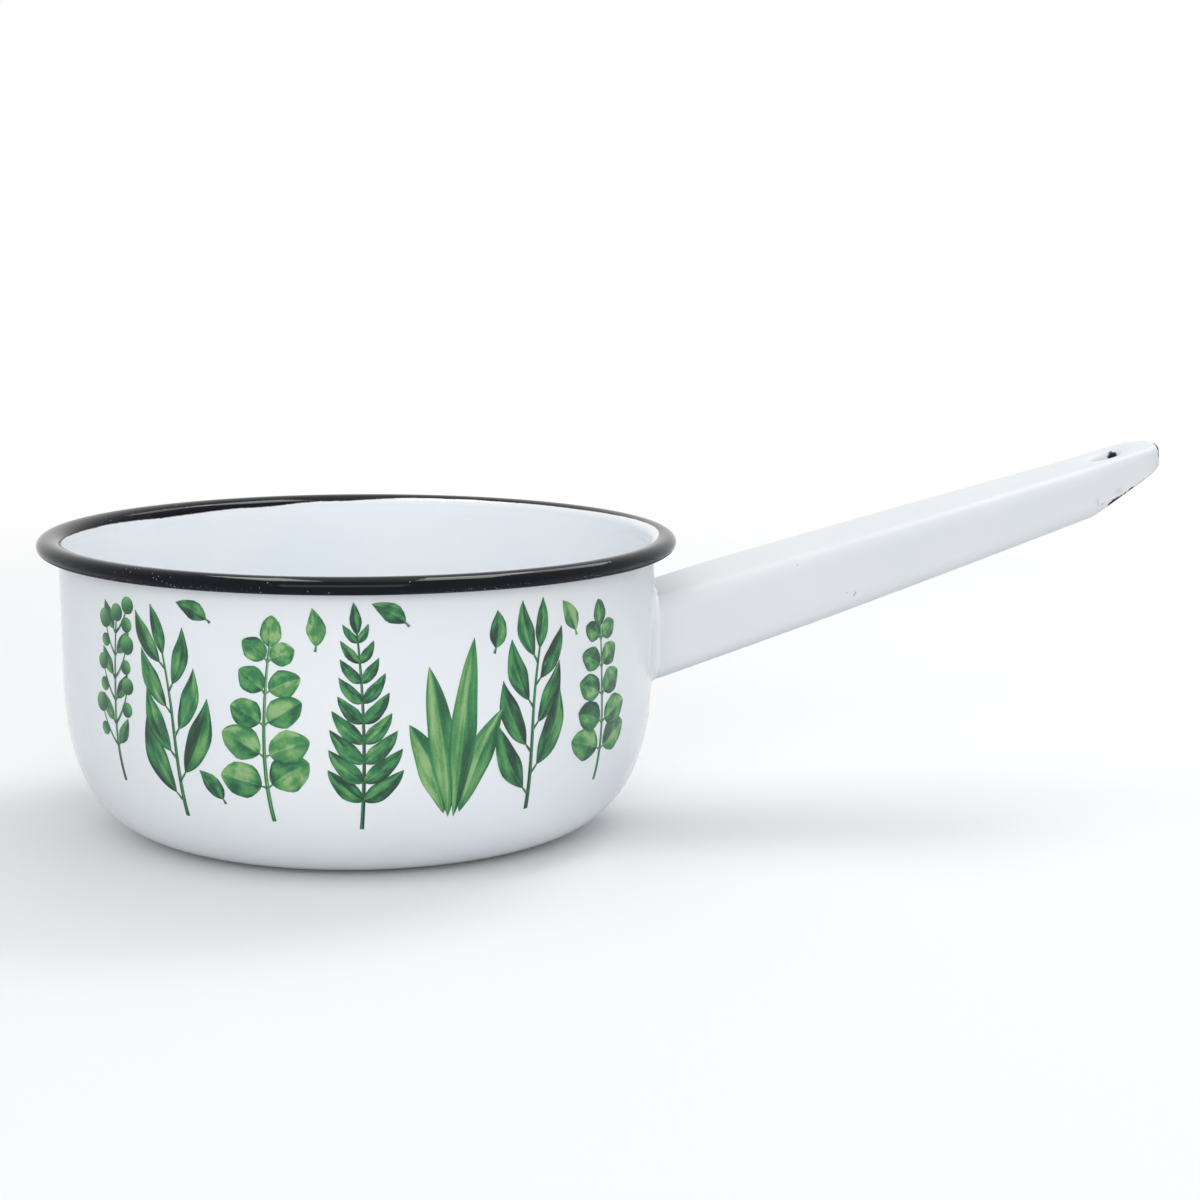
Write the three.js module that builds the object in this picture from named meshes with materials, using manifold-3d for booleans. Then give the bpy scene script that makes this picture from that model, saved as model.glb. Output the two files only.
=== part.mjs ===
// Enamelled steel saucepan with a rolled black rim and a folded sheet handle.
// Millimetres, +Z up, +X along the handle. The origin is the centre of the underside of the base.

import * as THREE from 'three';
import { mergeVertices } from 'three/addons/utils/BufferGeometryUtils.js';
import Module from 'manifold-3d';

const wasm = await Module();
wasm.setup();

// Bowl
const PAN_HEIGHT = 80.2;
const WALL_RADIUS = 80.3;
const WALL_DRAFT = 0.6;
const BASE_FLAT_RADIUS = 48;
const CORNER_HEIGHT = 45.3;
const CORNER_POWER = 2.54;
const BOWL_SHEET = 1.1;

// Rolled rim
const BEAD_WIDTH = 5.7;
const BEAD_HEIGHT = 4.5;
const BEAD_SHEET = 1.0;
const BEAD_CURL_END = 215;
const RIM_LEG = 0.8;

// Handle, measured along and square to its crowned top
const HANDLE_DROP = 17.3;
const HANDLE_TILT = 15.1;
const HANDLE_LENGTH = 150.8;
const ROOT_WIDTH = 33;
const NOSE_WIDTH = 21.8;
const NOSE_LENGTH = 9.6;
const NOSE_POWER = 2.5;
const SIDE_BULGE = 1.5;
const ROOT_DEPTH = 22.7;
const TIP_DEPTH = 13;
const TOP_ROUNDING = 4;
const UNDER_ROUNDING = 4;
const TOP_CROWN = 0.4;
const CROWN_SHOULDER = 4;
const HANDLE_SHEET = 1.2;
const SEAM_WIDTH = 3;
const SCOOP_LENGTH = 24.8;
const NOSE_DEPTH = 6.1;

// Hang hole, drawn down through the top near the nose
const HOLE_DIAMETER = 7.8;
const HOLE_FROM_TIP = 14.8;
const HOLE_LIP_DEPTH = 1.1;
const HOLE_LIP_WALL = 0.9;
const HOLE_MOUTH_ROUNDING = 1.3;

// Weld fillet round the handle's root
const WELD_LEG = 2.4;
const WELD_TOE = 0.35;

// Clearance between neighbouring pieces
const GAP = 0.3;

// Facet counts
const ROUND_SEGMENTS = 72;
const CORNER_STEPS = 10;
const CURL_STEPS = 4;
const HOLLOW_STEPS = 2;
const SIDE_STEPS = 8;
const NOSE_STEPS = 6;
const EDGE_STEPS = 4;
const HOLE_SEGMENTS = 32;

const whiteEnamel = new THREE.MeshStandardMaterial({ color: 0xeef1f4, roughness: 0.14, metalness: 0 });
const blackEnamel = new THREE.MeshStandardMaterial({ color: 0x121316, roughness: 0.16, metalness: 0 });

const radians = THREE.MathUtils.degToRad;
const beadRadius = WALL_RADIUS + BEAD_WIDTH / 2;
const beadLevel = PAN_HEIGHT - BEAD_HEIGHT / 2;
const wallTop = beadLevel - RIM_LEG;
const handleTop = PAN_HEIGHT - HANDLE_DROP;
const noseCentre = HANDLE_LENGTH - NOSE_LENGTH;

// Evenly spaced numbers from one end to the other, both included
function spread(from, to, steps) {
  return Array.from({ length: steps + 1 }, (_, i) => from + ((to - from) * i) / steps);
}

// Solid of revolution about +Z from a profile of [radius, height] points
function revolve(profile, segments) {
  const points = profile.map(([r, z]) => new THREE.Vector2(r, z));
  return new THREE.LatheGeometry(points, segments).rotateX(Math.PI / 2);
}

// Closed geometry to solid
function toSolid(geometry) {
  const bare = geometry.clone();
  bare.deleteAttribute('normal');
  bare.deleteAttribute('uv');
  const merged = mergeVertices(bare, 1e-4);
  const vertProperties = new Float32Array(merged.attributes.position.array);
  const triVerts = new Uint32Array(merged.index.array);
  return new wasm.Manifold(new wasm.Mesh({ numProp: 3, vertProperties, triVerts }));
}

// Solid back to geometry
function toGeometry(solid) {
  const { vertProperties, triVerts } = solid.getMesh();
  const geometry = new THREE.BufferGeometry();
  geometry.setAttribute('position', new THREE.BufferAttribute(new Float32Array(vertProperties), 3));
  geometry.setIndex(new THREE.BufferAttribute(new Uint32Array(triVerts), 1));
  geometry.computeVertexNormals();
  return geometry;
}

// Skin over a stack of loops with equal point counts, closed by flat fans at both ends.
// Each loop runs anticlockwise seen from the end of the stack, against its direction.
function skin(loops) {
  const count = loops[0].length;
  const positions = loops.flat().flatMap((p) => [p.x, p.y, p.z]);
  const index = [];
  for (let k = 0; k + 1 < loops.length; k += 1) {
    for (let i = 0; i < count; i += 1) {
      const j = (i + 1) % count;
      const [a, b, c, d] = [k * count + i, k * count + j, (k + 1) * count + i, (k + 1) * count + j];
      index.push(a, c, b, b, c, d);
    }
  }
  for (const [k, flip] of [[0, false], [loops.length - 1, true]]) {
    const centre = new THREE.Vector3();
    loops[k].forEach((p) => centre.addScaledVector(p, 1 / count));
    const hub = positions.length / 3;
    positions.push(centre.x, centre.y, centre.z);
    for (let i = 0; i < count; i += 1) {
      const rim = [k * count + i, k * count + ((i + 1) % count)];
      index.push(hub, ...(flip ? rim.reverse() : rim));
    }
  }
  const geometry = new THREE.BufferGeometry();
  geometry.setAttribute('position', new THREE.Float32BufferAttribute(positions, 3));
  geometry.setIndex(index);
  return geometry;
}

// Wall radius of the bowl's outside at a height above the corner
function wallRadiusAt(z) {
  return WALL_RADIUS - (WALL_DRAFT * (wallTop - z)) / (wallTop - CORNER_HEIGHT);
}

// One side of the bowl's profile, from the axis up to the mouth, set in from the outside
function bowlSide(inset) {
  const cornerRadius = WALL_RADIUS - WALL_DRAFT - inset - BASE_FLAT_RADIUS;
  const cornerRise = CORNER_HEIGHT - inset;
  const corner = spread(0, Math.PI / 2, CORNER_STEPS).map((a) => [
    BASE_FLAT_RADIUS + cornerRadius * Math.sin(a) ** (2 / CORNER_POWER),
    CORNER_HEIGHT - cornerRise * Math.cos(a) ** (2 / CORNER_POWER),
  ]);
  return [[0, inset], ...corner, [WALL_RADIUS - inset, wallTop]];
}

function bowl() {
  return revolve([...bowlSide(0), ...bowlSide(BOWL_SHEET).reverse()], ROUND_SEGMENTS);
}

// Arc of the rolled rim's section about its centre, in degrees
function curlArc(reachIn, reachOut, height, from, to, steps) {
  return spread(radians(from), radians(to), steps).map((a) => [
    beadRadius + (Math.cos(a) < 0 ? reachIn : reachOut) * Math.cos(a),
    beadLevel + height * Math.sin(a),
  ]);
}

// The wall's edge goes up, over, out, under and back to the wall, and leaves a slit open there
function rimBead() {
  const legFoot = wallTop + GAP;
  const reach = BEAD_WIDTH / 2;
  const rise = BEAD_HEIGHT / 2;
  const hollowReach = reach - BEAD_SHEET;
  const hollowRise = rise - BEAD_SHEET;
  const curlEnd = BEAD_CURL_END - 360;
  const outside = [
    ...curlArc(reach + BOWL_SHEET, reach, rise, 180, 90, CURL_STEPS),
    ...curlArc(reach, reach, rise, 90, curlEnd, 3 * CURL_STEPS).slice(1),
  ];
  const inside = [
    ...curlArc(hollowReach, hollowReach, hollowRise, curlEnd, 90, 3 * HOLLOW_STEPS),
    ...curlArc(reach, hollowReach, hollowRise, 90, 180, HOLLOW_STEPS).slice(1),
  ];
  const foot = [[WALL_RADIUS, legFoot], [WALL_RADIUS - BOWL_SHEET, legFoot]];
  const section = [...outside, ...inside, ...foot];
  return revolve([...section, section[0]].reverse(), ROUND_SEGMENTS);
}

// Half width of the handle's plan along its length: an even taper that bows out a little
function halfWidth(x) {
  const u = x / noseCentre;
  return (ROOT_WIDTH + (NOSE_WIDTH - ROOT_WIDTH) * u) / 2 + SIDE_BULGE * 4 * u * (1 - u);
}

function depthAt(x) {
  return ROOT_DEPTH + ((TIP_DEPTH - ROOT_DEPTH) * x) / HANDLE_LENGTH;
}

// Closed plan outline of the handle, set in all round, from the near root round the nose to the far root
function planOutline(rootX, inset) {
  const side = spread(rootX, noseCentre, SIDE_STEPS).map((x) => [x, -(halfWidth(x) - inset)]);
  const nose = spread(0, Math.PI / 2, NOSE_STEPS).slice(1).map((a) => [
    noseCentre + (NOSE_LENGTH - inset) * Math.sin(a) ** (2 / NOSE_POWER),
    -(NOSE_WIDTH / 2 - inset) * Math.cos(a) ** (2 / NOSE_POWER),
  ]);
  const near = [...side, ...nose];
  const far = near.slice(0, -1).reverse().map(([x, y]) => [x, -y]);
  return [...near, ...far];
}

// Solid of the handle's outer form, with its skin set in by the sheet or set out by a clearance
function handleForm(rootX, inset) {
  const top = TOP_ROUNDING - inset;
  const under = UNDER_ROUNDING - inset;
  const quarter = spread(0, Math.PI / 2, EDGE_STEPS);
  const layer = (setIn, height) =>
    planOutline(rootX, inset + setIn).map(([x, y]) => new THREE.Vector3(x, y, height(x)));
  const loops = [
    layer(top + CROWN_SHOULDER, () => TOP_CROWN - inset),
    ...quarter.map((a) => layer(top * (1 - Math.sin(a)), () => -inset - top * (1 - Math.cos(a)))),
    ...quarter.map((a) =>
      layer(under * (1 - Math.cos(a)), (x) => inset - depthAt(x) + under * (1 - Math.sin(a)))),
  ];
  return toSolid(skin(loops));
}

// Bar across the handle with the given outline of [x, z] points
function crossBar(outline) {
  const shape = new THREE.Shape(outline.map(([x, z]) => new THREE.Vector2(x, z)));
  const bar = new THREE.ExtrudeGeometry(shape, { depth: 2 * ROOT_WIDTH, bevelEnabled: false });
  return toSolid(bar.rotateX(Math.PI / 2).translate(0, ROOT_WIDTH, 0));
}

// Straight slot along the underside, where the two turned-in edges face each other
function seamSlot(rootX) {
  const length = HANDLE_LENGTH - rootX;
  const height = ROOT_DEPTH - TOP_ROUNDING;
  const slot = new THREE.BoxGeometry(length, SEAM_WIDTH, height);
  return toSolid(slot.translate(rootX + length / 2, 0, -ROOT_DEPTH + height / 4));
}

// The underside is cut away along a slant that rises to the nose
function scoop() {
  const start = HANDLE_LENGTH - SCOOP_LENGTH;
  const below = -2 * ROOT_DEPTH;
  const beyond = HANDLE_LENGTH + NOSE_LENGTH;
  return crossBar([
    [start, -depthAt(start)],
    [start, below],
    [beyond, below],
    [beyond, -NOSE_DEPTH],
    [HANDLE_LENGTH, -NOSE_DEPTH],
  ]);
}

// The hang hole's drawn lip, and the flared way through it
function hangHole() {
  const radius = HOLE_DIAMETER / 2;
  const lipFoot = -HANDLE_SHEET - HOLE_LIP_DEPTH;
  const lipTop = -HANDLE_SHEET / 2;
  const above = TOP_CROWN + HANDLE_SHEET;
  const rounding = HOLE_MOUTH_ROUNDING;
  const lip = revolve(
    [[0, lipFoot], [radius + HOLE_LIP_WALL, lipFoot], [radius + HOLE_LIP_WALL, lipTop], [0, lipTop]],
    HOLE_SEGMENTS,
  );
  const flare = spread(0, Math.PI / 2, EDGE_STEPS).map((a) => [
    radius + rounding * (1 - Math.cos(a)),
    TOP_CROWN - rounding * (1 - Math.sin(a)),
  ]);
  const way = revolve(
    [[0, -ROOT_DEPTH], [radius, -ROOT_DEPTH], ...flare, [radius + rounding, above], [0, above]],
    HOLE_SEGMENTS,
  );
  const x = HANDLE_LENGTH - HOLE_FROM_TIP;
  return [lip, way].map((g) => toSolid(g.translate(x, 0, 0)));
}

// The bowl's outside with a clearance round it, seen from the handle
function bowlEnvelope(handle) {
  const low = CORNER_HEIGHT / 2;
  const profile = [
    [0, low],
    [wallRadiusAt(low) + GAP, low],
    [wallRadiusAt(PAN_HEIGHT) + GAP, PAN_HEIGHT],
    [0, PAN_HEIGHT],
  ];
  const toHandle = handle.matrix.clone().invert();
  return toSolid(revolve(profile, 2 * ROUND_SEGMENTS).applyMatrix4(toHandle));
}

// Where the wall lies along the handle at a place across and down its root
function wallAlongHandle(y, z) {
  const tilt = radians(HANDLE_TILT);
  const sag = WALL_RADIUS - Math.sqrt(WALL_RADIUS ** 2 - y ** 2);
  return z * Math.tan(tilt) - sag / Math.cos(tilt);
}

// Closed outline of the handle's root section, set out all round, anticlockwise seen from the nose
function rootSection(setOut) {
  const half = ROOT_WIDTH / 2 + setOut;
  const top = TOP_ROUNDING + setOut;
  const under = UNDER_ROUNDING + setOut;
  const crown = ROOT_WIDTH / 2 - TOP_ROUNDING - CROWN_SHOULDER;
  const floor = -depthAt(wallAlongHandle(0, -ROOT_DEPTH)) - setOut;
  const across = (reach, z) => spread(reach, -reach, EDGE_STEPS).map((y) => [y, z]);
  const corner = (y, z, r, from) =>
    spread(radians(from), radians(from + 90), EDGE_STEPS).map((a) => [
      y + r * Math.cos(a),
      z + r * Math.sin(a),
    ]);
  return [
    ...corner(half - top, setOut - top, top, 0),
    ...across(crown, TOP_CROWN + setOut),
    ...corner(top - half, setOut - top, top, 90),
    ...corner(under - half, floor + under, under, 180),
    ...across(under - half, floor).slice(1, -1),
    ...corner(half - under, floor + under, under, 270),
  ];
}

// Hollow fillet that spreads from the handle's skin to the wall
function weldFlare(rootX) {
  const ring = (along, setOut) =>
    rootSection(setOut).map(([y, z]) => new THREE.Vector3(wallAlongHandle(y, z) + along, y, z));
  const arc = spread(0, Math.PI / 2, EDGE_STEPS).map((a) => ring(
    GAP + WELD_LEG * (1 - Math.sin(a)),
    GAP + WELD_TOE + WELD_LEG * (1 - Math.cos(a)),
  ));
  return toSolid(skin([...arc, ring(rootX, GAP + WELD_TOE + WELD_LEG)]));
}

const saucepan = new THREE.Group();

function addPiece(parent, name, geometry, material) {
  const mesh = new THREE.Mesh(geometry, material);
  mesh.name = name;
  parent.add(mesh);
}

addPiece(saucepan, 'bowl', bowl(), whiteEnamel);
addPiece(saucepan, 'rim_bead', rimBead(), blackEnamel);

const handle = new THREE.Group();
handle.position.set(wallRadiusAt(handleTop), 0, handleTop);
handle.rotation.y = -radians(HANDLE_TILT);
handle.updateMatrix();
saucepan.add(handle);

const rootX = -ROOT_DEPTH / 2;
const pan = bowlEnvelope(handle);
const [lip, holeWay] = hangHole();
const shell = handleForm(rootX, 0)
  .subtract(handleForm(2 * rootX, HANDLE_SHEET))
  .subtract(seamSlot(2 * rootX))
  .subtract(scoop())
  .add(lip)
  .subtract(holeWay)
  .subtract(pan);
addPiece(handle, 'handle_shell', toGeometry(shell), whiteEnamel);

const weld = weldFlare(rootX).subtract(handleForm(2 * rootX, -GAP)).subtract(pan);
addPiece(handle, 'handle_weld', toGeometry(weld), whiteEnamel);

export default saucepan;
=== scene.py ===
import bisect
import math
import random

import bpy
from mathutils import Matrix, Vector


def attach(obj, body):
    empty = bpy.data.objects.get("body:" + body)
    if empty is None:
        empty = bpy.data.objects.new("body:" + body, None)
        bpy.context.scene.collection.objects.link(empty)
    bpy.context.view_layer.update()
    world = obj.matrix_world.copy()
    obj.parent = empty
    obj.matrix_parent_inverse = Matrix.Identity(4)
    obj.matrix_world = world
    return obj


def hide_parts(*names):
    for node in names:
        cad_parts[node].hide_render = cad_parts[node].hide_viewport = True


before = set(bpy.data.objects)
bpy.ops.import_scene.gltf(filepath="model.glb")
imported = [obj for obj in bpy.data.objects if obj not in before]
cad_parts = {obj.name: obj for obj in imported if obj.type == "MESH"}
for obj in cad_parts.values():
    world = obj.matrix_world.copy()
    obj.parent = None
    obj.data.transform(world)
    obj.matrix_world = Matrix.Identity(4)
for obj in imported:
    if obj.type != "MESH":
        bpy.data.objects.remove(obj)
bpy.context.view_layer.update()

MM = 0.001

# Sizes in millimetres and degrees, the same as the part's own
PAN_HEIGHT = 80.2
WALL_RADIUS = 80.3
WALL_DRAFT = 0.6
BASE_FLAT_RADIUS = 48.0
CORNER_HEIGHT = 45.3
CORNER_POWER = 2.54
BOWL_SHEET = 1.1
BEAD_WIDTH = 5.7
BEAD_HEIGHT = 4.5
BEAD_SHEET = 1.0
BEAD_CURL_END = 215.0
RIM_LEG = 0.8
HANDLE_DROP = 17.3
HANDLE_TILT = 15.1
HANDLE_LENGTH = 150.8
ROOT_WIDTH = 33.0
NOSE_WIDTH = 21.8
NOSE_LENGTH = 9.6
NOSE_POWER = 2.5
SIDE_BULGE = 1.5
ROOT_DEPTH = 22.7
TIP_DEPTH = 13.0
TOP_ROUNDING = 4.0
UNDER_ROUNDING = 4.0
TOP_CROWN = 0.4
HANDLE_SHEET = 1.2
SEAM_WIDTH = 3.0
SCOOP_LENGTH = 24.8
HOLE_DIAMETER = 7.8
HOLE_FROM_TIP = 14.8
HOLE_LIP_DEPTH = 1.1
HOLE_LIP_WALL = 0.9
HOLE_MOUTH_ROUNDING = 1.3
WELD_LEG = 2.4

# Finer shape: the rim's lap into the mouth, the handle's root, nose, scoop and hole, and the weld
LAP_DEPTH = 1.7
ROOT_FLARE = 2.5
ROOT_FLARE_LENGTH = 26.0
NOSE_DEPTH = 5.7
NOSE_TIGHTEN = 2.0
NOSE_LEAN = 0.2
NOSE_LEAN_LEVEL = 4.0
SCOOP_POWER = 0.82
HOLE_DISH_DEPTH = 2.0
HOLE_DISH_REACH = 10.0
WELD_TOP_LOSS = 0.35
WELD_UNDER_LOSS = 0.6
WELD_SINK = 0.04

# Hairline between pieces that meet
HAIR = 0.02

# How finely the turned pieces are divided
BOWL_SEGMENTS = 192
RIM_SEGMENTS = 256
CORNER_STEPS = 40
BASE_RING = 0.6

# The green print: where its middle is round the bowl, and its thin layers
PRINT_SEED = 11
PRINT_MIDDLE = -94.7
PRINT_PROFILE_STEPS = 120
PRINT_BACK = 0.012
PRINT_LIFT = 0.035
PRINT_STEP = 0.012
PRINT_LAYERS = 10
PRINT_BLUNT = 0.12

# The camera of the photograph, placed as if the handle pointed right and a little away from it
HANDLE_TURN = 10.0
CAMERA_PLACE = (65.4, -699.6, 174.6)
CAMERA_PITCH = 9.18
CAMERA_ROLL = 0.34
CAMERA_LENS = 78.0
SENSOR_WIDTH = 36.0

# The room's even light, and the floor as it looks and as it lights the pan
ROOM_LIGHT = (0.625, 0.64, 0.655)
FLOOR = (0.95, 0.95, 0.95)
FLOOR_BOUNCE = (0.68, 0.69, 0.7)
FLOOR_SIDES = 64
FLOOR_REACH = 1800.0
FLOOR_LEVEL = -0.3
FADE_START = 200.0
FADE_END = 750.0

# Lamps laid out like the camera, in metres and watts: place, size and power
LAMP_AIM = (0.07, 0.0, 0.06)
SOFT_BOXES = (
    ("front_box", (0.0, -1.5, 0.5), (1.2, 0.8), 8.4),
    ("top_box", (0.1, 0.05, 1.1), (1.0, 0.7), 1.9),
    ("back_box", (0.5, 0.45, 0.85), (0.4, 0.4), 2.6),
)
STRIPS = (
    ("left_strip", (-0.25, 0.12, 0.95), (0.2, 0.6), 4.8),
    ("right_strip", (0.315, 0.12, 0.95), (0.32, 0.6), 7.2),
)

BEAD_RADIUS = WALL_RADIUS + BEAD_WIDTH / 2
BEAD_LEVEL = PAN_HEIGHT - BEAD_HEIGHT / 2
WALL_TOP = BEAD_LEVEL - RIM_LEG
LAP_FOOT = WALL_TOP - LAP_DEPTH
HANDLE_TOP = PAN_HEIGHT - HANDLE_DROP
NOSE_CENTRE = HANDLE_LENGTH - NOSE_LENGTH
SCOOP_START = HANDLE_LENGTH - SCOOP_LENGTH
HOLE_X = HANDLE_LENGTH - HOLE_FROM_TIP


def spread(start, end, steps):
    """Evenly spaced numbers, both ends included."""
    return [start + (end - start) * i / steps for i in range(steps + 1)]


def add_object(name, points, faces):
    """Smooth mesh object from points in millimetres."""
    mesh = bpy.data.meshes.new(name)
    mesh.from_pydata([[c * MM for c in p] for p in points], [], faces)
    mesh.polygons.foreach_set("use_smooth", [True] * len(mesh.polygons))
    mesh.update()
    obj = bpy.data.objects.new(name, mesh)
    bpy.context.collection.objects.link(obj)
    return obj


def sharpen(obj, degrees):
    """Edges that turn more than this stay crisp."""
    obj.data.set_sharp_from_angle(angle=math.radians(degrees))


def subdivide(obj, levels):
    """Smooth subdivision, the same in the view and the render."""
    smooth = obj.modifiers.new("smooth", "SUBSURF")
    smooth.levels = levels
    smooth.render_levels = levels


def settle(obj, slot, *nodes):
    """The piece moves with the pan and stands for these nodes, which it hides; the slot is not used.
    """
    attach(obj, "root")
    if nodes:
        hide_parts(*nodes)


def put_values(obj, name, kind, values):
    """Attribute with one value or vector for each point."""
    attribute = obj.data.attributes.new(name, kind, "POINT")
    key = "value" if kind == "FLOAT" else "vector"
    attribute.data.foreach_set(key, values)


# Turned pieces


def lathe(name, profile, segments):
    """Profile of (radius, height) points turned about the axis: from axis to axis, or closed."""
    capped = profile[0][0] == 0
    ring = profile[1:-1] if capped else profile
    count = len(ring)
    points = []
    for a in spread(0, 2 * math.pi, segments)[:-1]:
        points += [(r * math.cos(a), r * math.sin(a), z) for r, z in ring]
    faces = []
    for s in range(segments):
        here, there = s * count, (s + 1) % segments * count
        for k in range(count - 1 if capped else count):
            n = (k + 1) % count
            faces.append((here + k, there + k, there + n, here + n))
    if capped:
        for z, k in ((profile[0][1], 0), (profile[-1][1], count - 1)):
            hub = len(points)
            points.append((0, 0, z))
            for s in range(segments):
                pair = [s * count + k, (s + 1) % segments * count + k]
                faces.append((hub, *(pair if k else pair[::-1])))
    return add_object(name, points, faces)


def bowl_side(inset, steps):
    """The bowl's profile from the flat base to the wall, set in from the outside."""
    reach = WALL_RADIUS - WALL_DRAFT - inset - BASE_FLAT_RADIUS
    rise = CORNER_HEIGHT - inset
    return [
        (
            BASE_FLAT_RADIUS + reach * math.sin(a) ** (2 / CORNER_POWER),
            CORNER_HEIGHT - rise * max(math.cos(a), 0) ** (2 / CORNER_POWER),
        )
        for a in spread(0, math.pi / 2, steps)
    ]


def make_bowl():
    """The outside half of the sheet reaches up under the rolled rim, the inside half ends lower."""
    lap = WALL_RADIUS - BOWL_SHEET / 2 - HAIR
    hub = BASE_FLAT_RADIUS * BASE_RING
    outside = [(0, 0), (hub, 0), *bowl_side(0, CORNER_STEPS), (WALL_RADIUS, WALL_TOP - HAIR)]
    step = [(lap, WALL_TOP - HAIR), (lap, LAP_FOOT)]
    inside = [(WALL_RADIUS - BOWL_SHEET, LAP_FOOT), *bowl_side(BOWL_SHEET, CORNER_STEPS)[::-1]]
    floor = [(hub, BOWL_SHEET), (0, BOWL_SHEET)]
    bowl = lathe("bowl_enamel", [*outside, *step, *inside, *floor], BOWL_SEGMENTS)
    sharpen(bowl, 40)
    settle(bowl, "white_enamel", "bowl")
    return bowl


# How far the rim's black runs in, by the angle round the mouth from the handle
BLACK_REACH = (
    (0, 1.8), (40, 3.0), (72, 2.9), (90, 4.1), (108, 5.2), (130, 6.0),
    (150, 5.3), (185, 4.3), (270, 3.2), (325, 2.2), (360, 1.8),
)


def curl_arc(reach_in, reach_out, height, start, end, steps):
    """Arc of the rolled rim's section about its centre."""
    arc = []
    for a in spread(math.radians(start), math.radians(end), steps):
        reach = reach_in if math.cos(a) < 0 else reach_out
        arc.append((BEAD_RADIUS + reach * math.cos(a), BEAD_LEVEL + height * math.sin(a)))
    return arc


def black_reach(angle):
    """How far the black runs in from the top of the rim, eased from one known place to the next."""
    turn = math.degrees(angle)
    for (a, reach), (b, next_reach) in zip(BLACK_REACH, BLACK_REACH[1:]):
        if turn <= b:
            share = (1 - math.cos(math.pi * (turn - a) / (b - a))) / 2
            return reach + (next_reach - reach) * share
    return BLACK_REACH[-1][1]


def make_rim():
    """The rolled edge, a hollow curl, with how far each point lies past the black's inner edge."""
    reach, rise = BEAD_WIDTH / 2, BEAD_HEIGHT / 2
    hollow_reach, hollow_rise = reach - BEAD_SHEET, rise - BEAD_SHEET
    curl_end = BEAD_CURL_END - 360
    inner, lap = WALL_RADIUS - BOWL_SHEET, WALL_RADIUS - BOWL_SHEET / 2
    foot = [(lap, LAP_FOOT), (lap, WALL_TOP), (WALL_RADIUS, WALL_TOP)]
    back = curl_arc(reach, hollow_reach, hollow_rise, 180, 90, 8)
    hollow = curl_arc(hollow_reach, hollow_reach, hollow_rise, 90, curl_end, 18)[1:]
    outer = curl_arc(reach, reach, rise, curl_end, 90, 30)
    over = curl_arc(reach + BOWL_SHEET, reach, rise, 90, 180, 14)[1:]
    leg = [(inner, z) for z in spread(BEAD_LEVEL, LAP_FOOT, 8)[1:]]
    section = [*foot, *back, *hollow, *outer, *over, *leg]
    top = len(section) - len(leg) - len(over) - 1
    inward = [0.0] * len(section)
    for k in range(top + 1, len(section)):
        inward[k] = inward[k - 1] + math.dist(section[k], section[k - 1])
    rim = lathe("rim_roll", section, RIM_SEGMENTS)
    sharpen(rim, 50)
    past_edge = []
    for a in spread(0, 2 * math.pi, RIM_SEGMENTS)[:-1]:
        past_edge += [d - black_reach(a) for d in inward]
    put_values(rim, "past_edge", "FLOAT", past_edge)
    settle(rim, "black_enamel", "rim_bead")
    return rim


# The folded handle: along X, with the edge of its crowned top at height 0


def wall_radius_at(z):
    return WALL_RADIUS - WALL_DRAFT * (WALL_TOP - z) / (WALL_TOP - CORNER_HEIGHT)


HANDLE_ROOT = wall_radius_at(HANDLE_TOP)
TILT_COS, TILT_SIN = math.cos(math.radians(HANDLE_TILT)), math.sin(math.radians(HANDLE_TILT))


def placed(points):
    """Points of the handle, turned up by its tilt and set on the wall."""
    return [
        (HANDLE_ROOT + x * TILT_COS - z * TILT_SIN, y, HANDLE_TOP + x * TILT_SIN + z * TILT_COS)
        for x, y, z in points
    ]


def half_width(x):
    u = x / NOSE_CENTRE
    return (ROOT_WIDTH + (NOSE_WIDTH - ROOT_WIDTH) * u) / 2 + SIDE_BULGE * 4 * u * (1 - u)


def depth_at(x):
    return ROOT_DEPTH + (TIP_DEPTH - ROOT_DEPTH) * x / HANDLE_LENGTH


def edge_depth(x):
    """Depth of the lower edge: the full depth, and past the scoop's start its slanting cut."""
    if x <= SCOOP_START:
        return depth_at(x)
    start = depth_at(SCOOP_START)
    share = (x - SCOOP_START) / SCOOP_LENGTH
    return start + (NOSE_DEPTH - start) * share**SCOOP_POWER


def top_rounding(x):
    """Rounding of the top edges, which opens out at the wall and tightens to the nose."""
    flare = max(0, 1 - x / ROOT_FLARE_LENGTH)
    tighten = min(1, max(0, (x - SCOOP_START) / (NOSE_CENTRE - SCOOP_START)))
    return TOP_ROUNDING + ROOT_FLARE * flare**2 - NOSE_TIGHTEN * tighten


def leaned(x, z):
    """Place along the handle, with the nose drawn out at its top and in below."""
    return x + NOSE_LEAN * max(0, x - NOSE_CENTRE) / NOSE_LENGTH * (z + NOSE_LEAN_LEVEL)


def wall_along(y, z):
    """Where the bowl's wall lies along the handle, at a place across and below its top."""
    along = 0.0
    for _ in range(4):
        height = HANDLE_TOP + along * TILT_SIN + z * TILT_COS
        reach = math.sqrt(wall_radius_at(height) ** 2 - y**2)
        along = (reach - HANDLE_ROOT + z * TILT_SIN) / TILT_COS
    return along


def to_wall(point):
    """Points near the root slide along the handle, so that it ends on the round wall."""
    x, y, z = point
    fade = max(0, 1 - x / ROOT_DEPTH / 2)
    return x + fade * (wall_along(y, z) + HAIR), y, z


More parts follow.
